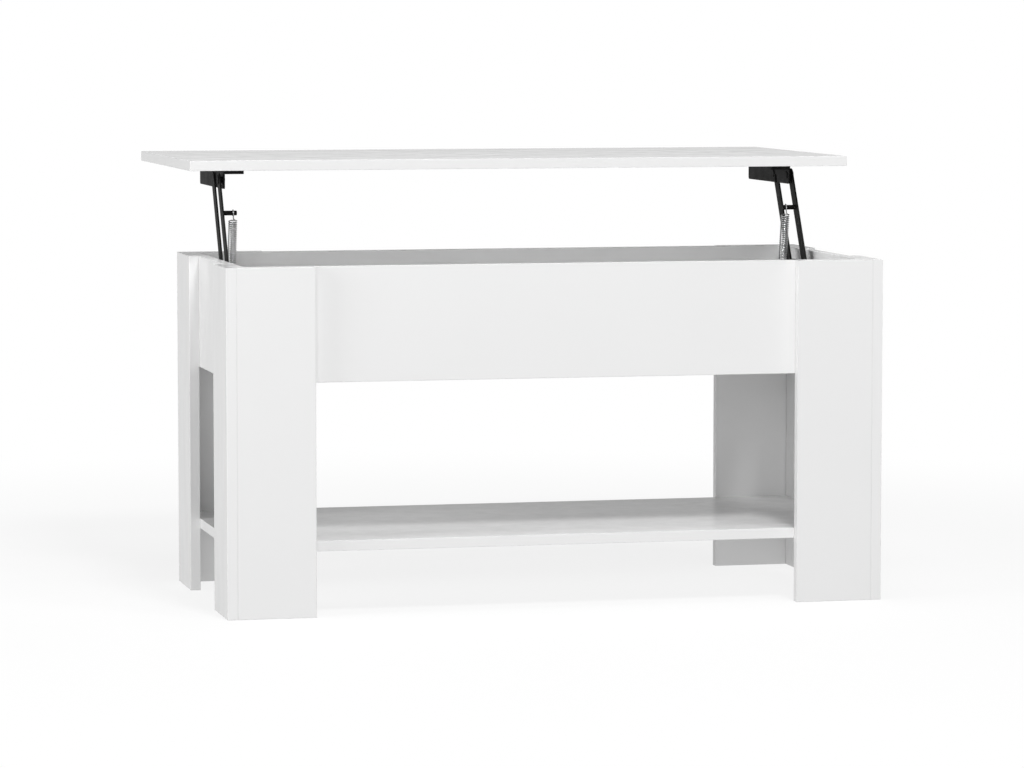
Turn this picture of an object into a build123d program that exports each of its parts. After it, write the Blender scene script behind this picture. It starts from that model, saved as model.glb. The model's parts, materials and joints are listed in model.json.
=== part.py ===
from build123d import *
import os
from math import atan2, cos, degrees, hypot, radians, sin

os.makedirs("parts", exist_ok=True)

# A coffee table whose top swings up and towards the sitter on two parallelogram linkages with
# extension springs. The origin is the middle of the base's footprint on the floor. +X runs along
# the table, +Y points to the sitter's side, where the top travels, and +Z is up. "Front" is the
# -Y side. Everything is drawn with the top raised, and left-hand steel parts mirror right-hand ones.

# ---- Boards ----
board = 15.0
edge_radius = 0.6
base_length = 980.0
base_width = 450.0
base_height = 505.0
top_length = 1010.0
top_width = 490.0
leg_face = 130.0
leg_return = 115.0
apron_height = 167.0
shelf_top = 109.0
rim_gap = 0.5

# ---- Travel of the top ----
lift_height = 130.0
lift_reach = 245.0
raised_angle = 60.5
pivot_drop = 16.5
pivot_spacing = 70.0
front_pivot_from_middle = -147.9

# ---- Linkage steel. From the side apron inwards: base bracket, front arm, rear arm, top bracket ----
arm_width = 20.0
arm_thickness = 2.6
plate_thickness = 2.5
layer_gap = 0.35
wall_gap = 10.05
bend_radius = 1.2
steel_edge = 0.4
top_plate_height = 30.0
top_plate_length = 218.0
top_plate_from_middle = -160.0
top_flange_width = 31.0
top_lip_height = 8.0
base_plate_margin = 18.0
base_plate_rise = 14.0
base_plate_bend = 450.0
wall_flange_foot = 398.0

# ---- Pins and rivets of the linkage ----
pin_radius = 4.0
running_gap = 0.08
fixed_gap = 0.02
side_play = 0.15
head_radius = 7.0
head_thickness = 1.25
shoulder_radius = 5.0
sunk_head_radius = 6.2
sunk_head_thickness = 1.1
sunk_hole_radius = 6.6
sunk_hole_depth = 1.4
collar_radius = 6.0
collar_thickness = 1.5
groove_radius = 3.2
groove_width = 3.2
stud_radius = 3.6
stud_tail_radius = 3.0
stud_up_arm = 108.5
stud_notch_gap = 0.75
stud_notch_turn = 16.0
pin_end = 424.0

# ---- Extension springs ----
spring_x = 429.5
spring_radius = 7.0
wire_radius = 1.0
hook_radius = 4.6
upper_hook_length = 11.0
lower_hook_length = 13.0
hook_wrap = 230.0
end_hole_radius = 2.2

# ---- Fasteners of the boards ----
screw_gap = 0.05
wood_screw_radius = 1.9
wood_screw_head = 4.0
wood_screw_length = 25.0
screw_tip = 4.0
screw_point_radius = 0.475
sink_angle = 82.0
pan_head_radius = 3.9
pan_head_height = 2.0
pan_screw_length = 13.5
recess_length = 4.0
recess_width = 0.9
recess_depth = 1.2
dowel_radius = 4.0
dowel_length = 30.0
dowel_short_end = 10.0
cam_radius = 7.5
cam_depth = 12.5
cam_slot_length = 8.0
cam_slot_width = 1.8
cam_slot_depth = 2.4
cam_from_joint = 34.0
cam_bolt_radius = 3.0
cam_bolt_hole = 3.5
cam_bolt_grip = 11.0
fastener_rows = (372.0, 471.0)
corner_dowel_rows = (400.0, 443.0)
leg_dowel_rows = (60.0, 252.5, 445.0)
leg_screw_x = 400.0
side_screw_y = 140.0
shelf_dowel_x = 440.0
floor_dowel_x = (-400.0, -140.0, 140.0, 400.0)
floor_dowel_y = 100.0
bracket_screw_y = (-40.0, 40.0)
bracket_screw_rows = (411.0, 436.0)
top_screw_y = (-150.0, -100.0, -20.0, 46.0)
top_screw_x = 424.0

# ---- Places worked out from the sizes above ----
leg_x = base_length / 2
leg_y = base_width / 2
box_x = leg_x - board
box_y = leg_y - board
inner_x = box_x - board
inner_y = box_y - board
apron_foot = base_height - apron_height
floor_middle = apron_foot + board / 2
shelf_middle = shelf_top - board / 2
side_board_middle = inner_x + board / 2
leg_board_middle = box_y + board / 2
cam_y = inner_y - cam_from_joint
shelf_cam_y = box_y - cam_from_joint

base_plate_x = inner_x - wall_gap - plate_thickness
front_arm_x = base_plate_x - layer_gap - arm_thickness
rear_arm_x = front_arm_x - layer_gap - arm_thickness
top_plate_x = rear_arm_x - layer_gap - plate_thickness

underside = base_height + rim_gap + lift_height
chord = hypot(lift_reach, lift_height)
arm_turn = 2 * (degrees(atan2(lift_height, lift_reach)) + 90 - raised_angle)
arm_length = chord / (2 * sin(radians(arm_turn / 2)))
closed_angle = raised_angle + arm_turn
arm_run = arm_length * cos(radians(raised_angle))
arm_rise = arm_length * sin(radians(raised_angle))
upper_z = underside - pivot_drop
lower_z = upper_z - arm_rise
front_upper_y = lift_reach + front_pivot_from_middle
rear_upper_y = front_upper_y + pivot_spacing
front_lower_y = front_upper_y - arm_run
rear_lower_y = front_lower_y + pivot_spacing
stud_y = front_lower_y + stud_up_arm * cos(radians(raised_angle))
stud_z = lower_z + stud_up_arm * sin(radians(raised_angle))

corners = [(end, side) for end in (-1, 1) for side in (-1, 1)]
end_name = {-1: "front", 1: "rear"}
side_name = {-1: "left", 1: "right"}


def write(piece, name):
    """Names a finished piece and writes it as its own STEP file."""
    piece.part.label = name
    export_step(piece.part, f"parts/{name}.step")


def write_pair(piece, name):
    """Writes a right-hand piece, and its mirror image as the left-hand one."""
    with BuildPart() as mirrored:
        mirror(piece.part, about=Plane.YZ)
    write(piece, f"right_{name}")
    write(mirrored, f"left_{name}")


def placed(piece, planes):
    """Copies of one fastener as a group of separate solids, one standing on each plane."""
    with BuildPart() as group:
        with Locations(*planes):
            add(piece.part)
    return group


def turned(steps, y, z):
    """A steel pin along X through (y, z), made of coaxial steps (start, end, radius)."""
    with BuildPart() as pin:
        for start, end, radius in steps:
            with BuildSketch(Plane.YZ.offset(start)):
                with Locations((y, z)):
                    Circle(radius)
            extrude(amount=end - start)
        ends = pin.edges().group_by(Axis.X)
        chamfer(ends[0] + ends[-1], steel_edge)
    return pin


# ---- Planes of the fasteners: the plane's +Z points out of the wood, along the fastener ----
leg_screw_planes = {
    end: [
        Plane(origin=(side * leg_screw_x, end * inner_y, row), z_dir=(0, -end, 0))
        for side in (-1, 1)
        for row in fastener_rows
    ]
    for end in (-1, 1)
}
side_screw_planes = {
    side: [
        Plane(origin=(side * inner_x, end * side_screw_y, row), z_dir=(-side, 0, 0))
        for end in (-1, 1)
        for row in fastener_rows
    ]
    for side in (-1, 1)
}
leg_dowel_planes = {
    (end, side): [
        Plane(origin=(side * box_x, end * leg_board_middle, row), z_dir=(-side, 0, 0))
        for row in leg_dowel_rows
    ]
    for end, side in corners
}
corner_dowel_planes = {
    (end, side): [
        Plane(origin=(side * side_board_middle, end * inner_y, row), z_dir=(0, -end, 0))
        for row in corner_dowel_rows
    ]
    for end, side in corners
}
floor_end_dowel_planes = {
    end: [
        Plane(origin=(x, end * inner_y, floor_middle), z_dir=(0, -end, 0))
        for x in floor_dowel_x
    ]
    for end in (-1, 1)
}
floor_side_dowel_planes = {
    side: [
        Plane(origin=(side * inner_x, y, floor_middle), z_dir=(-side, 0, 0))
        for y in (-floor_dowel_y, floor_dowel_y)
    ]
    for side in (-1, 1)
}
shelf_dowel_planes = {
    (end, side): [Plane(origin=(side * shelf_dowel_x, end * box_y, shelf_middle), z_dir=(0, -end, 0))]
    for end, side in corners
}
shelf_bolt_planes = {
    (end, side): [Plane(origin=(side * leg_screw_x, end * box_y, shelf_middle), z_dir=(0, -end, 0))]
    for end, side in corners
}
corner_bolt_planes = {
    (end, side): [
        Plane(origin=(side * side_board_middle, end * inner_y, row), z_dir=(0, -end, 0))
        for row in fastener_rows
    ]
    for end, side in corners
}
corner_cam_planes = {
    side: [
        Plane(origin=(side * inner_x, end * cam_y, row), z_dir=(-side, 0, 0))
        for end in (-1, 1)
        for row in fastener_rows
    ]
    for side in (-1, 1)
}
shelf_cam_planes = [
    Plane(origin=(side * leg_screw_x, end * shelf_cam_y, shelf_top - board), z_dir=(0, 0, -1))
    for end, side in corners
]
top_screw_planes = {
    side: [
        Plane(
            origin=(side * top_screw_x, lift_reach + y, underside - plate_thickness),
            z_dir=(0, 0, -1),
        )
        for y in top_screw_y
    ]
    for side in (-1, 1)
}
bracket_middle_y = (front_lower_y + rear_lower_y) / 2
bracket_screw_planes = {
    side: [
        Plane(
            origin=(side * (inner_x - plate_thickness), bracket_middle_y + y, row),
            z_dir=(-side, 0, 0),
        )
        for y in bracket_screw_y
        for row in bracket_screw_rows
    ]
    for side in (-1, 1)
}


def drill(planes, radius, depth):
    """Round holes into the board that is being made, going down from each plane."""
    with Locations(*planes):
        Hole(radius, depth)


# ---- Legs: a wide board on the front or rear face, and a return board covering its end ----
for end, side in corners:
    face_inner_x = leg_x - leg_face
    with BuildPart() as leg_board:
        with BuildSketch(Plane.XY):
            with Locations((side * (face_inner_x + box_x) / 2, end * leg_board_middle)):
                Rectangle(box_x - face_inner_x, board)
        extrude(amount=base_height)
        fillet(leg_board.edges(), edge_radius)
        wide_screws = [p for p in leg_screw_planes[end] if p.origin.X * side > 0]
        drill(wide_screws, wood_screw_radius + screw_gap, wood_screw_length)
        drill(leg_dowel_planes[end, side], dowel_radius, dowel_length - dowel_short_end)
        drill(shelf_dowel_planes[end, side], dowel_radius, dowel_short_end)
        drill(shelf_bolt_planes[end, side], cam_bolt_radius, cam_bolt_grip)
    write(leg_board, f"{end_name[end]}_{side_name[side]}_leg_board")

    with BuildPart() as leg_side:
        with BuildSketch(Plane.XY):
            with Locations((side * (box_x + leg_x) / 2, end * (leg_y - leg_return / 2))):
                Rectangle(board, leg_return)
        extrude(amount=base_height)
        fillet(leg_side.edges(), edge_radius)
        return_screws = [p for p in side_screw_planes[side] if p.origin.Y * end > 0]
        drill(return_screws, wood_screw_radius + screw_gap, wood_screw_length)
        drill(leg_dowel_planes[end, side], dowel_radius, dowel_short_end)
    write(leg_side, f"{end_name[end]}_{side_name[side]}_leg_return")

# ---- Aprons: the walls of the storage box. The front and rear ones run past the side ones ----
for end in (-1, 1):
    with BuildPart() as long_apron:
        with BuildSketch(Plane.XY.offset(apron_foot)):
            with Locations((0, end * (inner_y + board / 2))):
                Rectangle(2 * box_x, board)
        extrude(amount=apron_height)
        fillet(long_apron.edges(), edge_radius)
        with Locations(*leg_screw_planes[end]):
            CounterSinkHole(
                wood_screw_radius + screw_gap, wood_screw_head, board, sink_angle
            )
        for side in (-1, 1):
            drill(corner_dowel_planes[end, side], dowel_radius, dowel_short_end)
            drill(corner_bolt_planes[end, side], cam_bolt_radius, cam_bolt_grip)
        drill(floor_end_dowel_planes[end], dowel_radius, dowel_short_end)
    write(long_apron, f"{end_name[end]}_apron")

for side in (-1, 1):
    with BuildPart() as side_apron:
        with BuildSketch(Plane.XY.offset(apron_foot)):
            with Locations((side * side_board_middle, 0)):
                Rectangle(board, 2 * inner_y)
        extrude(amount=apron_height)
        fillet(side_apron.edges(), edge_radius)
        with Locations(*side_screw_planes[side]):
            CounterSinkHole(
                wood_screw_radius + screw_gap, wood_screw_head, board, sink_angle
            )
        for end in (-1, 1):
            drill(corner_dowel_planes[end, side], dowel_radius, dowel_length - dowel_short_end)
            drill(corner_bolt_planes[end, side], cam_bolt_hole, cam_from_joint)
        drill(corner_cam_planes[side], cam_radius, cam_depth)
        drill(floor_side_dowel_planes[side], dowel_radius, dowel_short_end)
        drill(bracket_screw_planes[side], wood_screw_radius + screw_gap, pan_screw_length)
    write(side_apron, f"{side_name[side]}_apron")

# ---- Floor of the storage box ----
with BuildPart() as box_floor:
    with BuildSketch(Plane.XY.offset(apron_foot)):
        Rectangle(2 * inner_x, 2 * inner_y)
    extrude(amount=board)
    fillet(box_floor.edges(), edge_radius)
    for sign in (-1, 1):
        drill(floor_end_dowel_planes[sign], dowel_radius, dowel_length - dowel_short_end)
        drill(floor_side_dowel_planes[sign], dowel_radius, dowel_length - dowel_short_end)
write(box_floor, "storage_box_floor")

# ---- Lower shelf, inside the four legs ----
with BuildPart() as lower_shelf:
    with BuildSketch(Plane.XY.offset(shelf_top - board)):
        Rectangle(2 * box_x, 2 * box_y)
    extrude(amount=board)
    fillet(lower_shelf.edges(), edge_radius)
    for corner in corners:
        drill(shelf_dowel_planes[corner], dowel_radius, dowel_length - dowel_short_end)
        drill(shelf_bolt_planes[corner], cam_bolt_hole, cam_from_joint)
    drill(shelf_cam_planes, cam_radius, cam_depth)
write(lower_shelf, "lower_shelf")

# ---- Top board ----
with BuildPart() as top_board:
    with BuildSketch(Plane.XY.offset(underside)):
        with Locations((0, lift_reach)):
            Rectangle(top_length, top_width)
    extrude(amount=board)
    fillet(top_board.edges(), edge_radius)
    for side in (-1, 1):
        drill(top_screw_planes[side], wood_screw_radius + screw_gap, pan_screw_length)
write(top_board, "table_top")

# ---- Base brackets: a wall flange, a step and a raised plate with the lower pivots ----
base_plate_top = lower_z + base_plate_rise
base_plate_length = pivot_spacing + 2 * base_plate_margin
wall_flange_x = inner_x - plate_thickness
bracket_far_y = bracket_middle_y + base_plate_length / 2
with BuildPart() as base_bracket:
    with BuildSketch(Plane.XZ.offset(-bracket_far_y)):
        with Locations((base_plate_x, base_plate_bend)):
            Rectangle(plate_thickness, base_plate_top - base_plate_bend, align=(Align.MIN, Align.MIN))
        with Locations((base_plate_x, base_plate_bend)):
            Rectangle(inner_x - base_plate_x, plate_thickness, align=(Align.MIN, Align.MAX))
        with Locations((wall_flange_x, wall_flange_foot)):
            Rectangle(plate_thickness, base_plate_bend - wall_flange_foot, align=(Align.MIN, Align.MIN))
    extrude(amount=base_plate_length)
    upright = base_bracket.edges().filter_by(Axis.X)
    fillet(upright.group_by(Axis.Z)[-1], base_plate_rise - steel_edge)
    fillet(base_bracket.edges().filter_by(Axis.X).group_by(Axis.Z)[0], head_radius)
    outer_bends = (
        base_bracket.edges()
        .filter_by(Axis.Y)
        .filter_by_position(Axis.Z, base_plate_bend - plate_thickness, base_plate_bend)
    )
    fillet(outer_bends, bend_radius)
    with BuildSketch(Plane.YZ.offset(base_plate_x)):
        with Locations((front_lower_y, lower_z), (rear_lower_y, lower_z)):
            Circle(pin_radius + fixed_gap)
    extrude(amount=plate_thickness, mode=Mode.SUBTRACT)
    with Locations(*bracket_screw_planes[1]):
        Hole(wood_screw_radius + screw_gap, plate_thickness)
write_pair(base_bracket, "base_bracket")

# ---- Top brackets: a plate with the upper pivots and a flange under the top ----
# The stud passes up through a notch in the plate's lower edge as the table closes.
top_plate_near_y = lift_reach + top_plate_from_middle
stud_from_pivot = arm_length - stud_up_arm
stud_path = CenterArc((front_upper_y, upper_z), stud_from_pivot, closed_angle - 180, -stud_notch_turn)
with BuildPart() as top_bracket:
    with BuildSketch(Plane.XZ.offset(-(top_plate_near_y + top_plate_length))):
        with Locations((top_plate_x + plate_thickness, underside)):
            Rectangle(plate_thickness, top_plate_height, align=(Align.MAX, Align.MAX))
            Rectangle(top_flange_width, plate_thickness, align=(Align.MAX, Align.MAX))
    extrude(amount=top_plate_length)
    fillet(top_bracket.edges().filter_by(Axis.X).group_by(Axis.Z)[0], pin_radius)
    outer_bend = top_bracket.edges().filter_by(Axis.Y).sort_by(Axis.Z)[-2:].sort_by(Axis.X)[-1]
    fillet(outer_bend, bend_radius)
    flange_corners = top_bracket.edges().filter_by(Axis.Z).group_by(Axis.X)[0].sort_by(Axis.Y)
    fillet(flange_corners[-1], pin_radius)
    with BuildSketch(Plane.XZ.offset(-(top_plate_near_y + plate_thickness))):
        with Locations((top_plate_x + plate_thickness - bend_radius, underside)):
            Rectangle(top_flange_width - bend_radius, top_lip_height, align=(Align.MAX, Align.MAX))
    extrude(amount=plate_thickness)
    with BuildSketch(Plane.YZ.offset(top_plate_x)):
        with Locations((front_upper_y, upper_z), (rear_upper_y, upper_z)):
            Circle(pin_radius + fixed_gap)
        SlotArc(stud_path, 2 * (stud_radius + stud_notch_gap))
    extrude(amount=plate_thickness, mode=Mode.SUBTRACT)
    with Locations(*top_screw_planes[1]):
        Hole(wood_screw_radius + screw_gap, plate_thickness)
write_pair(top_bracket, "top_bracket")

# ---- Arms: flat links with round ends. The front pair carries the spring studs ----
# Where the other arm passes over a pivot, the rivet's head is sunk into the arm: on the front arm's
# inner face at its foot, and on the rear arm's outer face at its top.
front_arm_back = front_arm_x + arm_thickness
rear_arm_back = rear_arm_x + arm_thickness
arm_places = {
    "front_arm": (front_arm_x, front_lower_y, front_arm_x, sunk_hole_depth, (front_lower_y, lower_z)),
    "rear_arm": (rear_arm_x, rear_lower_y, rear_arm_back, -sunk_hole_depth, (rear_upper_y, upper_z)),
}
for arm_name, (face_x, foot_y, sunk_x, sunk_depth, sunk_place) in arm_places.items():
    with BuildPart() as arm:
        with BuildSketch(Plane.YZ.offset(face_x)):
            with Locations((foot_y + arm_run / 2, lower_z + arm_rise / 2)):
                SlotCenterToCenter(arm_length, arm_width, rotation=raised_angle)
            with Locations((foot_y, lower_z), (foot_y + arm_run, upper_z)):
                Circle(pin_radius + running_gap, mode=Mode.SUBTRACT)
            if arm_name == "front_arm":
                with Locations((stud_y, stud_z)):
                    Circle(stud_tail_radius + fixed_gap, mode=Mode.SUBTRACT)
        extrude(amount=arm_thickness)
        for face in (arm.faces().sort_by(Axis.X)[0], arm.faces().sort_by(Axis.X)[-1]):
            chamfer(face.outer_wire().edges(), steel_edge)
        with BuildSketch(Plane.YZ.offset(sunk_x)):
            with Locations(sunk_place):
                Circle(sunk_hole_radius)
        extrude(amount=sunk_depth, mode=Mode.SUBTRACT)
    write_pair(arm, arm_name)

# ---- Spring studs, riveted to the front arms, with a groove for the spring's hook ----
groove_start = spring_x - groove_width / 2
groove_end = spring_x + groove_width / 2
spring_stud = turned(
    [
        (pin_end, groove_start, stud_radius),
        (groove_start, groove_end, stud_tail_radius),
        (groove_end, front_arm_x, stud_radius),
        (front_arm_x, front_arm_back, stud_tail_radius),
    ],
    stud_y,
    stud_z,
)
write_pair(spring_stud, "spring_stud")

# ---- Lower pivots: a rivet for the front arm, and a long pin that also anchors the spring ----
base_plate_back = base_plate_x + plate_thickness
front_lower_rivet = turned(
    [
        (front_arm_x, front_arm_x + sunk_head_thickness, sunk_head_radius),
        (front_arm_x + sunk_head_thickness, base_plate_back, pin_radius),
        (base_plate_back, base_plate_back + head_thickness, head_radius),
    ],
    front_lower_y,
    lower_z,
)
write_pair(front_lower_rivet, "front_lower_rivet")

collar_start = rear_arm_x - side_play - collar_thickness
anchor_pin = turned(
    [
        (pin_end, groove_start, pin_radius),
        (groove_start, groove_end, groove_radius),
        (groove_end, collar_start, pin_radius),
        (collar_start, rear_arm_x - side_play, collar_radius),
        (rear_arm_x - side_play, rear_arm_back + side_play, pin_radius),
        (rear_arm_back + side_play, base_plate_x, shoulder_radius),
        (base_plate_x, base_plate_back, pin_radius),
        (base_plate_back, base_plate_back + head_thickness, head_radius),
    ],
    rear_lower_y,
    lower_z,
)
write_pair(anchor_pin, "spring_anchor_pin")

# ---- Upper pivots: rivets through the top bracket's plate ----
top_plate_back = top_plate_x + plate_thickness
front_upper_rivet = turned(
    [
        (top_plate_x - head_thickness, top_plate_x, collar_radius),
        (top_plate_x, top_plate_back, pin_radius),
        (top_plate_back, front_arm_x - side_play, shoulder_radius),
        (front_arm_x - side_play, front_arm_back + side_play, pin_radius),
        (front_arm_back + side_play, front_arm_back + side_play + head_thickness, head_radius),
    ],
    front_upper_y,
    upper_z,
)
write_pair(front_upper_rivet, "front_upper_rivet")

rear_upper_rivet = turned(
    [
        (top_plate_x - head_thickness, top_plate_x, collar_radius),
        (top_plate_x, rear_arm_back - sunk_head_thickness, pin_radius),
        (rear_arm_back - sunk_head_thickness, rear_arm_back, sunk_head_radius),
    ],
    rear_upper_y,
    upper_z,
)
write_pair(rear_upper_rivet, "rear_upper_rivet")

# ---- Extension springs: a plain tube with end discs for the coils, and a hook at each end ----
anchor = Vector(spring_x, rear_lower_y, lower_z)
stud = Vector(spring_x, stud_y, stud_z)
pull = (stud - anchor).normalized()
coil_length = (stud - anchor).length - upper_hook_length - lower_hook_length
coil_plane = Plane(origin=anchor + pull * lower_hook_length, x_dir=(1, 0, 0), z_dir=pull)
end_disc = 2 * wire_radius
standing = (Align.CENTER, Align.CENTER, Align.MIN)
with BuildPart(coil_plane) as coils:
    Cylinder(spring_radius, coil_length, align=standing)
    Cylinder(end_hole_radius, coil_length, align=standing, mode=Mode.SUBTRACT)
    with Locations((0, 0, end_disc)):
        Cylinder(
            spring_radius - 2 * wire_radius,
            coil_length - 2 * end_disc,
            align=standing,
            mode=Mode.SUBTRACT,
        )
write_pair(coils, "spring_coils")

across = Vector(1, 0, 0)
hook_places = {
    "spring_lower_hook": (anchor, pull, lower_hook_length),
    "spring_upper_hook": (stud, -pull, upper_hook_length),
}
for hook_name, (eye, to_coils, hook_length) in hook_places.items():
    eye_plane = Plane(origin=eye, x_dir=to_coils.cross(across), z_dir=across)
    with BuildPart() as hook:
        with BuildLine(eye_plane):
            leg = Line((hook_radius, hook_length), (hook_radius, 0))
            JernArc(leg @ 1, leg % 1, hook_radius, -hook_wrap)
        with BuildSketch(Plane(origin=leg @ 0, z_dir=leg % 0)):
            Circle(wire_radius)
        sweep()
    write_pair(hook, hook_name)

# ---- Countersunk screws that hold the legs to the aprons ----
with BuildPart() as sunk_screw:
    Cylinder(
        wood_screw_radius,
        wood_screw_length - screw_tip,
        align=(Align.CENTER, Align.CENTER, Align.MAX),
    )
    with Locations((0, 0, screw_tip - wood_screw_length)):
        Cone(
            screw_point_radius,
            wood_screw_radius,
            screw_tip,
            align=(Align.CENTER, Align.CENTER, Align.MAX),
        )
    Cone(
        wood_screw_radius,
        wood_screw_head - screw_gap,
        wood_screw_head - wood_screw_radius,
        align=(Align.CENTER, Align.CENTER, Align.MAX),
    )
    with BuildSketch():
        Rectangle(recess_length, recess_width)
        Rectangle(recess_width, recess_length)
    extrude(amount=-recess_depth, mode=Mode.SUBTRACT)
all_leg_screws = [plane for sign in (-1, 1) for plane in leg_screw_planes[sign] + side_screw_planes[sign]]
write(placed(sunk_screw, all_leg_screws), "leg_screws")

# ---- Pan-head screws of the brackets ----
with BuildPart() as pan_screw:
    Cylinder(pan_head_radius, pan_head_height, align=(Align.CENTER, Align.CENTER, Align.MIN))
    fillet(pan_screw.edges().sort_by(Axis.Z)[-1], pan_head_height / 2)
    Cylinder(
        wood_screw_radius,
        pan_screw_length - screw_tip,
        align=(Align.CENTER, Align.CENTER, Align.MAX),
    )
    with Locations((0, 0, screw_tip - pan_screw_length)):
        Cone(
            screw_point_radius,
            wood_screw_radius,
            screw_tip,
            align=(Align.CENTER, Align.CENTER, Align.MAX),
        )
    with BuildSketch(Plane.XY.offset(pan_head_height)):
        Rectangle(recess_length, recess_width)
        Rectangle(recess_width, recess_length)
    extrude(amount=-recess_depth, mode=Mode.SUBTRACT)
for side in (-1, 1):
    write(placed(pan_screw, bracket_screw_planes[side]), f"{side_name[side]}_base_bracket_screws")
    write(placed(pan_screw, top_screw_planes[side]), f"{side_name[side]}_top_bracket_screws")

# ---- Dowels: the short end sits in the board below the plane, the long end in the one above ----
with BuildPart() as dowel:
    with Locations((0, 0, -dowel_short_end)):
        Cylinder(dowel_radius, dowel_length, align=(Align.CENTER, Align.CENTER, Align.MIN))
    chamfer(dowel.edges().filter_by(GeomType.CIRCLE), edge_radius)
leg_dowel_list = [plane for corner in corners for plane in leg_dowel_planes[corner]]
box_dowel_list = [plane for corner in corners for plane in corner_dowel_planes[corner]]
floor_dowel_list = [
    plane for sign in (-1, 1) for plane in floor_end_dowel_planes[sign] + floor_side_dowel_planes[sign]
]
shelf_dowel_list = [plane for corner in corners for plane in shelf_dowel_planes[corner]]
write(placed(dowel, leg_dowel_list), "leg_dowels")
write(placed(dowel, box_dowel_list), "apron_dowels")
write(placed(dowel, floor_dowel_list), "storage_box_floor_dowels")
write(placed(dowel, shelf_dowel_list), "shelf_dowels")

# ---- Cam locks and the bolts that they draw in ----
with BuildPart() as cam_lock:
    Cylinder(cam_radius, cam_depth, align=(Align.CENTER, Align.CENTER, Align.MAX))
    with BuildSketch():
        Rectangle(cam_slot_length, cam_slot_width)
        Rectangle(cam_slot_width, cam_slot_length)
    extrude(amount=-cam_slot_depth, mode=Mode.SUBTRACT)
with BuildPart() as cam_bolt:
    with Locations((0, 0, -cam_bolt_grip)):
        Cylinder(
            cam_bolt_radius,
            cam_bolt_grip + cam_from_joint - cam_radius,
            align=(Align.CENTER, Align.CENTER, Align.MIN),
        )
all_corner_cams = corner_cam_planes[-1] + corner_cam_planes[1]
write(placed(cam_lock, all_corner_cams), "apron_cam_locks")
write(placed(cam_lock, shelf_cam_planes), "shelf_cam_locks")
corner_bolt_list = [plane for corner in corners for plane in corner_bolt_planes[corner]]
shelf_bolt_list = [plane for corner in corners for plane in shelf_bolt_planes[corner]]
write(placed(cam_bolt, corner_bolt_list), "apron_cam_bolts")
write(placed(cam_bolt, shelf_bolt_list), "shelf_cam_bolts")
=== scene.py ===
import json
import math

import bmesh
import bpy
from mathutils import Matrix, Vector


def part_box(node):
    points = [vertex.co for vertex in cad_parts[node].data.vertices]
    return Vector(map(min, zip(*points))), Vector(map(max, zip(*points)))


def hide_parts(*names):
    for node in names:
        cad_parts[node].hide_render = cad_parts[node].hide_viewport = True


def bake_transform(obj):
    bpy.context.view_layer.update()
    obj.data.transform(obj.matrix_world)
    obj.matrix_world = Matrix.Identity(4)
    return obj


# A lift top coffee table in white gloss board, drawn with its top raised. Lengths are in metres.
# +X runs along the table, +Y is the way the top travels when it's raised, and +Z is up.
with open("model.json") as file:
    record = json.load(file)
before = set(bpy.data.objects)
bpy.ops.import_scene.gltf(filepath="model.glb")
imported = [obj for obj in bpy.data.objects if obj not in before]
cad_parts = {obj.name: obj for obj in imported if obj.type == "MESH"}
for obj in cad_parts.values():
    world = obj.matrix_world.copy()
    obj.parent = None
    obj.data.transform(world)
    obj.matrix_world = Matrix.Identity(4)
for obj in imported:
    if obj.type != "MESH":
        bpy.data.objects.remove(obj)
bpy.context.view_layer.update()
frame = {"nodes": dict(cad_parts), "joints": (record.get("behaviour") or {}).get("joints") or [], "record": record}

MM = 0.001
TURN = 2 * math.pi
ACROSS = Vector((1, 0, 0))
UP = Vector((0, 0, 1))
SIDES = ("left", "right")

# ---- Camera ----
CAMERA_AIM = Vector((-0.018, 0.003, 0.312))
CAMERA_DISTANCE = 6.46
CAMERA_YAW = math.radians(13.28)
CAMERA_PITCH = math.radians(4.84)
CAMERA_LENS = 151.2
SENSOR_WIDTH = 36.0

# ---- Springs ----
WIRE_RADIUS = 0.9 * MM
SPRING_RADIUS = 7.0 * MM
COIL_PITCH = 3.05 * MM
HOOK_RADIUS = 4.6 * MM
HOOK_WRAP = math.radians(250)
LOWER_HOOK = 13.0 * MM
UPPER_HOOK = 11.0 * MM
BEND_LENGTH = 2.6 * MM
WIRE_SIDES = 10
STEPS_PER_TURN = 24
SHANK_STEPS = 8
JOINED_ENDS = 2
SMOOTHING_ROUNDS = 2

# ---- Board ----
BAND_WIDTH = 0.9 * MM
BAND_LINE = 0.16 * MM
BOARD_GREY = 0.84
BOARD_GREY_VARIATION = 0.008
BAND_LINE_GREY = 0.45
BAND_LINE_WARMTH = 0.01
BAND_LINE_STRENGTH = 0.55
BAND_LINE_GROOVE = 0.02 * MM
BOARD_SPECULAR = 0.17
BOARD_GLOSSIEST = 0.11
BOARD_DULLEST = 0.21
LACQUER_RIPPLE = 0.012 * MM
LACQUER_PEEL = 0.006 * MM

# ---- Noise: the range that most of it keeps to ----
NOISE_LOW = 0.3
NOISE_HIGH = 0.7

# ---- Black powder coat ----
COAT_SPECULAR = 0.08
COAT_DARK = 0.006
COAT_LIGHT = 0.011
COAT_WARMTH = 0.0002
COAT_GLOSSIEST = 0.42
COAT_DULLEST = 0.54
RUB_DULLING = 0.08
COAT_UNEVENNESS = 0.05 * MM
COAT_PEBBLES = 0.03 * MM

# ---- Bare and plated metal, and beech ----
METAL_WARMTH = -0.006
METAL_MARKS = 0.02 * MM
BEECH_DARK = (0.48, 0.3, 0.15, 1.0)
BEECH_LIGHT = (0.66, 0.46, 0.27, 1.0)
BEECH_FLECK = (0.3, 0.17, 0.08, 1.0)
BEECH_ROUGHNESS = 0.6
FLECK_LIMIT = 0.62
FLECK_STRENGTH = 0.4
GRAIN_RELIEF = 0.08 * MM
FLECK_RELIEF = 0.03 * MM

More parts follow.
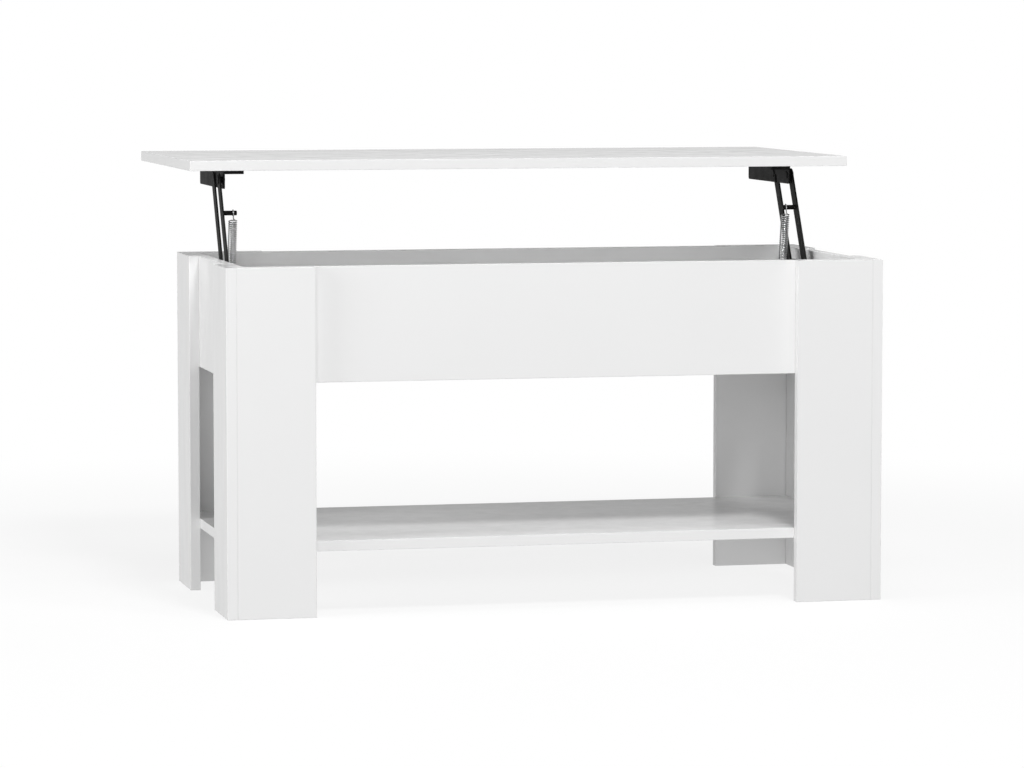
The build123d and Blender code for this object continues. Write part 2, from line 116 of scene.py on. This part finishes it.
# ---- Studio: the floor, and each light's name, place, size and power in watts ----
FLOOR_SIZE = 60.0
FLOOR_NEAR = 0.9
FLOOR_FAR = 2.2
FLOOR_GLOW = 0.82
FLOOR_LIGHT = 0.64
FLOOR_ROUGHNESS = 0.7
FLOOR_DARK = 0.84
FLOOR_PALE = 0.87
TABLE_MIDDLE = Vector((0, 0.1, 0.3))  # every light faces this point
LIGHTS = (
    ("key", (0.3, -3.6, 4.6), 0.9, 152.0),
    ("key_right", (2.2, -3.0, 4.6), 1.0, 50.0),
    ("front_fill", (-2.0, -5.3, 0.9), 2.2, 60.0),
    ("left_side", (-4.6, -0.8, 1.7), 2.4, 118.0),
    ("overhead", (0.0, -0.4, 4.8), 2.2, 84.0),
)
WORLD_LIGHT = 0.01
WORLD_MIRRORED = 0.53


# ---------------------------------------------------------------- materials
def add(tree, kind, inputs=(), **settings):
    """A new shader node. inputs maps a socket's name or number to a value or to another node's output."""
    made = tree.nodes.new("ShaderNode" + kind)
    for key, value in settings.items():
        setattr(made, key, value)
    for key, value in dict(inputs).items():
        if isinstance(value, bpy.types.NodeSocket):
            tree.links.new(value, made.inputs[key])
        else:
            made.inputs[key].default_value = value
    return made.outputs


def new_material(name, **sockets):
    """A node material whose constant values sit on the shader's own sockets."""
    made = bpy.data.materials.new(name)
    made.use_nodes = True
    shader = made.node_tree.nodes["Principled BSDF"]
    for key, value in sockets.items():
        shader.inputs[key.replace("_", " ")].default_value = value
    return made, made.node_tree, shader


def maths(tree, operation, first, second=0.5, clamp=False):
    return add(tree, "Math", {0: first, 1: second}, operation=operation, use_clamp=clamp)[0]


def noise(tree, where, scale, detail=2.0, roughness=0.5):
    return add(
        tree, "TexNoise", {"Vector": where, "Scale": scale, "Detail": detail, "Roughness": roughness}
    )["Fac"]


def spread(tree, value, low, high):
    """A noise value, stretched so that it runs from low to high."""
    inputs = {"Value": value, "From Min": NOISE_LOW, "From Max": NOISE_HIGH}
    return add(tree, "MapRange", {**inputs, "To Min": low, "To Max": high})["Result"]


def blend_colours(tree, share, first, second):
    mixed = tree.nodes.new("ShaderNodeMix")
    mixed.data_type = "RGBA"
    for socket, value in ((0, share), (6, first), (7, second)):
        if isinstance(value, bpy.types.NodeSocket):
            tree.links.new(value, mixed.inputs[socket])
        else:
            mixed.inputs[socket].default_value = value
    return mixed.outputs[2]


def grey(value, tint=0.0):
    """A colour of that brightness, a little warmer for a positive tint."""
    return (value + tint, value, value - tint, 1.0)


def bump(tree, shader, layers):
    """Bump from several (height, distance) layers, one on top of the other."""
    normal = None
    for height, distance in layers:
        inputs = {"Height": height, "Strength": 1.0, "Distance": distance}
        if normal is not None:
            inputs["Normal"] = normal
        normal = add(tree, "Bump", inputs)["Normal"]
    tree.links.new(normal, shader.inputs["Normal"])


def object_space(tree, stretch=(1.0, 1.0, 1.0)):
    """The object's own coordinates, in metres, multiplied by stretch."""
    where = add(tree, "TexCoord")["Object"]
    return add(tree, "Mapping", {"Vector": where, "Scale": stretch})[0]


def band_lines(tree, low, high):
    """1 on the fine glue line round a board's broad faces, just inside its edges, and 0 elsewhere."""
    middle, half = (low + high) / 2, (high - low) / 2
    thin = min(range(3), key=lambda axis: half[axis])
    place = add(tree, "SeparateXYZ", {0: object_space(tree)})
    lines = []
    for axis in range(3):
        if axis != thin:
            from_middle = maths(tree, "ABSOLUTE", maths(tree, "SUBTRACT", place[axis], middle[axis]))
            from_line = maths(tree, "SUBTRACT", from_middle, half[axis] - BAND_WIDTH)
            lines.append(maths(tree, "COMPARE", from_line, 0.0))
            lines[-1].node.inputs[2].default_value = BAND_LINE / 2
    return maths(tree, "MAXIMUM", lines[0], lines[1])


def board_material(name, low, high):
    """White high-gloss board: a hard, slightly uneven lacquer, and the line where the edge band ends."""
    made, tree, shader = new_material("white_gloss_board_" + name, Specular_IOR_Level=BOARD_SPECULAR)
    where = object_space(tree)
    clouds = noise(tree, where, scale=3.2, detail=4.0)
    streaked = object_space(tree, stretch=(9.0, 9.0, 3.0))
    smudges = noise(tree, streaked, scale=2.5, detail=5.0, roughness=0.6)
    peel = noise(tree, where, scale=260.0)
    ripple = noise(tree, where, scale=34.0)
    lines = band_lines(tree, low, high)
    darkest = grey(BOARD_GREY - BOARD_GREY_VARIATION)
    lightest = grey(BOARD_GREY + BOARD_GREY_VARIATION)
    lacquer = blend_colours(tree, spread(tree, clouds, 0.0, 1.0), darkest, lightest)
    line_share = maths(tree, "MULTIPLY", lines, BAND_LINE_STRENGTH)
    shaded = blend_colours(tree, line_share, lacquer, grey(BAND_LINE_GREY, BAND_LINE_WARMTH))
    tree.links.new(shaded, shader.inputs["Base Color"])
    gloss = spread(tree, smudges, BOARD_GLOSSIEST, BOARD_DULLEST)
    tree.links.new(gloss, shader.inputs["Roughness"])
    groove = maths(tree, "SUBTRACT", 1.0, lines)
    bump(tree, shader, ((ripple, LACQUER_RIPPLE), (peel, LACQUER_PEEL), (groove, BAND_LINE_GROOVE)))
    return made


def black_steel():
    """Satin black powder coat: a fine pebbled skin, with rubbed patches."""
    made, tree, shader = new_material("black_steel", Specular_IOR_Level=COAT_SPECULAR)
    where = object_space(tree)
    pebbles = noise(tree, where, scale=1500.0, roughness=0.6)
    patches = noise(tree, where, scale=55.0, detail=4.0)
    rubs = noise(tree, object_space(tree, stretch=(40.0, 40.0, 260.0)), scale=3.0, detail=3.0)
    lightest = grey(COAT_LIGHT, COAT_WARMTH)
    coat = blend_colours(tree, spread(tree, patches, 0.0, 1.0), grey(COAT_DARK), lightest)
    tree.links.new(coat, shader.inputs["Base Color"])
    uneven = spread(tree, patches, COAT_GLOSSIEST, COAT_DULLEST)
    gloss = maths(tree, "ADD", uneven, spread(tree, rubs, 0.0, RUB_DULLING))
    tree.links.new(gloss, shader.inputs["Roughness"])
    bump(tree, shader, ((patches, COAT_UNEVENNESS), (pebbles, COAT_PEBBLES)))
    return made


def metal(name, light, dark, gloss, dull, grain, stretch):
    """Bare or plated steel: uneven tone, fine marks stretched along one way, and a varied gloss."""
    made, tree, shader = new_material(name, Metallic=1.0)
    where = object_space(tree)
    tone = noise(tree, where, scale=90.0, detail=4.0)
    marks = noise(tree, object_space(tree, stretch), scale=grain, detail=3.0, roughness=0.65)
    colour = blend_colours(tree, spread(tree, tone, 0.0, 1.0), grey(dark), grey(light, METAL_WARMTH))
    tree.links.new(colour, shader.inputs["Base Color"])
    tree.links.new(spread(tree, marks, gloss, dull), shader.inputs["Roughness"])
    bump(tree, shader, ((marks, METAL_MARKS),))
    return made


def beech():
    """Beech dowel: warm wood with fine darker flecks."""
    made, tree, shader = new_material("beech_dowel", Roughness=BEECH_ROUGHNESS)
    fibres = object_space(tree, stretch=(60.0, 60.0, 900.0))
    grain = noise(tree, fibres, scale=1.0, detail=5.0, roughness=0.6)
    flecks = noise(tree, object_space(tree, stretch=(300.0, 300.0, 1600.0)), scale=1.0)
    wood = blend_colours(tree, spread(tree, grain, 0.0, 1.0), BEECH_DARK, BEECH_LIGHT)
    is_fleck = maths(tree, "GREATER_THAN", flecks, FLECK_LIMIT)
    fleck_share = maths(tree, "MULTIPLY", is_fleck, FLECK_STRENGTH)
    tree.links.new(blend_colours(tree, fleck_share, wood, BEECH_FLECK), shader.inputs["Base Color"])
    bump(tree, shader, ((grain, GRAIN_RELIEF), (flecks, FLECK_RELIEF)))
    return made


materials = {
    "black_steel": black_steel(),
    "zinc_plated_steel": metal(
        "zinc_plated_steel",
        light=0.68, dark=0.55, gloss=0.22, dull=0.4, grain=700.0, stretch=(1.0, 4.0, 1.0),
    ),
    "spring_steel": metal(
        "spring_steel",
        light=0.58, dark=0.42, gloss=0.14, dull=0.3, grain=500.0, stretch=(1.0, 1.0, 6.0),
    ),
    "zinc_casting": metal(
        "zinc_casting",
        light=0.58, dark=0.48, gloss=0.42, dull=0.6, grain=1500.0, stretch=(1.0, 1.0, 1.0),
    ),
    "beech_dowel": beech(),
}
for part in frame["record"]["subparts"]:
    name = part["node"]
    mesh = frame["nodes"][name].data
    made = materials.get(part["material_slot"]) or board_material(name, *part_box(name))
    if not mesh.materials:
        mesh.materials.append(made)
    for index in range(len(mesh.materials)):
        mesh.materials[index] = made


# ---------------------------------------------------------------- springs
def middle_of(node):
    low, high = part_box(node)
    return (low + high) / 2


def arc(centre, first, second, radius, start, stop, steps):
    """Points round centre from angle start to stop, where angle 0 points along first."""
    angles = [start + (stop - start) * step / steps for step in range(steps + 1)]
    return [centre + (first * math.cos(a) + second * math.sin(a)) * radius for a in angles]


def smoothed(points, rounds):
    """The same run of points with its corners rounded off. The ends stay."""
    for _ in range(rounds):
        middle = [(a + b * 2 + c) / 4 for a, b, c in zip(points, points[1:], points[2:])]
        points = [points[0]] + middle + [points[-1]]
    return points


def spring_path(anchor, stud, lower_hook, upper_hook):
    """The middle line of the whole wire: hook round the anchor pin, coils, hook round the stud."""
    pull = (stud - anchor).normalized()
    out = pull.cross(ACROSS)
    coil_radius = SPRING_RADIUS - WIRE_RADIUS
    first_coil = anchor + pull * lower_hook
    coil_length = (stud - anchor).length - lower_hook - upper_hook
    turns = round(coil_length / COIL_PITCH - 0.5) + 0.5
    shares = [step / SHANK_STEPS for step in range(1, SHANK_STEPS + 1)]
    lower = arc(anchor, out, pull, HOOK_RADIUS, -HOOK_WRAP, 0.0, STEPS_PER_TURN)
    shank = lower_hook - BEND_LENGTH
    lower += [anchor + out * HOOK_RADIUS + pull * (shank * share) for share in shares]
    steps = round(turns * STEPS_PER_TURN)
    helix = []
    for step in range(steps + 1):
        angle = TURN * turns * step / steps
        spoke = out * math.cos(angle) + ACROSS * math.sin(angle)
        helix.append(first_coil + pull * (coil_length * step / steps) + spoke * coil_radius)
    upper = arc(stud, -out, -pull, HOOK_RADIUS, -HOOK_WRAP, 0.0, STEPS_PER_TURN)
    shank = upper_hook - BEND_LENGTH
    upper += [stud - out * HOOK_RADIUS - pull * (shank * share) for share in shares]
    whole = smoothed(lower + helix[JOINED_ENDS:-JOINED_ENDS] + upper[::-1], SMOOTHING_ROUNDS)
    return whole, first_coil, first_coil + pull * coil_length


def tube(name, path, radius, sides):
    """A closed round tube along the path, with flat ends."""
    made = bmesh.new()
    rings = []
    side = None
    for index, point in enumerate(path):
        ahead = path[min(index + 1, len(path) - 1)] - path[max(index - 1, 0)]
        ahead.normalize()
        before = UP if side is None else side
        side = before - ahead * ahead.dot(before)
        side.normalize()
        spokes = arc(point, side, ahead.cross(side), radius, 0.0, TURN, sides)[:-1]
        rings.append([made.verts.new(spoke) for spoke in spokes])
    for near, far in zip(rings, rings[1:]):
        for index in range(sides):
            after = (index + 1) % sides
            made.faces.new((near[index], near[after], far[after], far[index]))
    made.faces.new(rings[0][::-1])
    made.faces.new(rings[-1])
    for face in made.faces:
        face.smooth = len(face.verts) == 4
    mesh = bpy.data.meshes.new(name)
    made.to_mesh(mesh)
    made.free()
    piece = bpy.data.objects.new(name, mesh)
    bpy.context.scene.collection.objects.link(piece)
    return piece


joint_named = {joint["name"]: joint for joint in frame["joints"]}
for side in SIDES:
    hook_x = middle_of(f"{side}_spring_lower_hook").x
    anchor = Vector(joint_named[f"{side}_spring_swing"]["pos_m"])
    stud_middle = middle_of(f"{side}_spring_stud")
    stud = Vector((hook_x, stud_middle.y, stud_middle.z))
    path, coils_start, coils_end = spring_path(anchor, stud, LOWER_HOOK, UPPER_HOOK)
    spring = tube(f"{side}_spring_wire", path, WIRE_RADIUS, WIRE_SIDES)
    spring.data.materials.append(materials["spring_steel"])
    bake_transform(spring)
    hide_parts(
        f"{side}_spring_coils", f"{side}_spring_lower_hook", f"{side}_spring_upper_hook"
    )


# ---------------------------------------------------------------- camera, light and floor
camera_data = bpy.data.cameras.new("camera")
camera_data.lens = CAMERA_LENS
camera_data.sensor_width = SENSOR_WIDTH
camera = bpy.data.objects.new("camera", camera_data)
bpy.context.scene.collection.objects.link(camera)
forward = Vector(
    (
        math.sin(CAMERA_YAW) * math.cos(CAMERA_PITCH),
        math.cos(CAMERA_YAW) * math.cos(CAMERA_PITCH),
        -math.sin(CAMERA_PITCH),
    )
)
camera.location = CAMERA_AIM - forward * CAMERA_DISTANCE
camera.rotation_euler = forward.to_track_quat("-Z", "Y").to_euler()
bpy.context.scene.camera = camera

for name, place, size, power in LIGHTS:
    lamp = bpy.data.lights.new(name, "AREA")
    lamp.shape = "SQUARE"
    lamp.size = size
    lamp.energy = power
    shown = bpy.data.objects.new(name, lamp)
    shown.location = place
    shown.rotation_euler = (TABLE_MIDDLE - Vector(place)).to_track_quat("-Z", "Y").to_euler()
    bpy.context.scene.collection.objects.link(shown)

world = bpy.data.worlds.new("studio")
bpy.context.scene.world = world
world.use_nodes = True
sky = world.node_tree
surround = sky.nodes["Background"]
surround.inputs["Color"].default_value = grey(1.0)
path_kind = add(sky, "LightPath")
indirect = add(
    sky,
    "MapRange",
    {"Value": path_kind["Is Glossy Ray"], "To Min": WORLD_LIGHT, "To Max": WORLD_MIRRORED},
)["Result"]
strength = add(
    sky, "MapRange", {"Value": path_kind["Is Camera Ray"], "To Min": indirect, "To Max": 1.0}
)["Result"]
sky.links.new(strength, surround.inputs["Strength"])
bpy.context.scene.view_settings.view_transform = "Standard"

bpy.ops.mesh.primitive_plane_add(size=FLOOR_SIZE)
floor = bpy.context.object
floor.name = "floor"
paint, tree, shader = new_material("studio_floor", Roughness=FLOOR_ROUGHNESS)
where = add(tree, "TexCoord")["Object"]
tone = spread(tree, noise(tree, where, scale=1.5, detail=3.0), 0.0, 1.0)
tree.links.new(blend_colours(tree, tone, grey(FLOOR_DARK), grey(FLOOR_PALE)), shader.inputs["Base Color"])
seen = add(tree, "LightPath")["Is Camera Ray"]
shine = add(tree, "MapRange", {"Value": seen, "To Min": FLOOR_LIGHT, "To Max": 1.0})["Result"]
glow = add(tree, "Emission", {"Color": grey(1.0), "Strength": shine})[0]
from_table = add(tree, "VectorMath", {0: where}, operation="LENGTH")["Value"]
fade = {"From Min": FLOOR_NEAR, "From Max": FLOOR_FAR, "To Min": FLOOR_GLOW, "To Max": 1.0}
share = add(
    tree, "MapRange", {"Value": from_table, **fade}, interpolation_type="SMOOTHSTEP"
)["Result"]
mixed = add(tree, "MixShader", {0: share, 1: shader.outputs[0], 2: glow})[0]
tree.links.new(mixed, tree.nodes["Material Output"].inputs["Surface"])
floor.data.materials.append(paint)
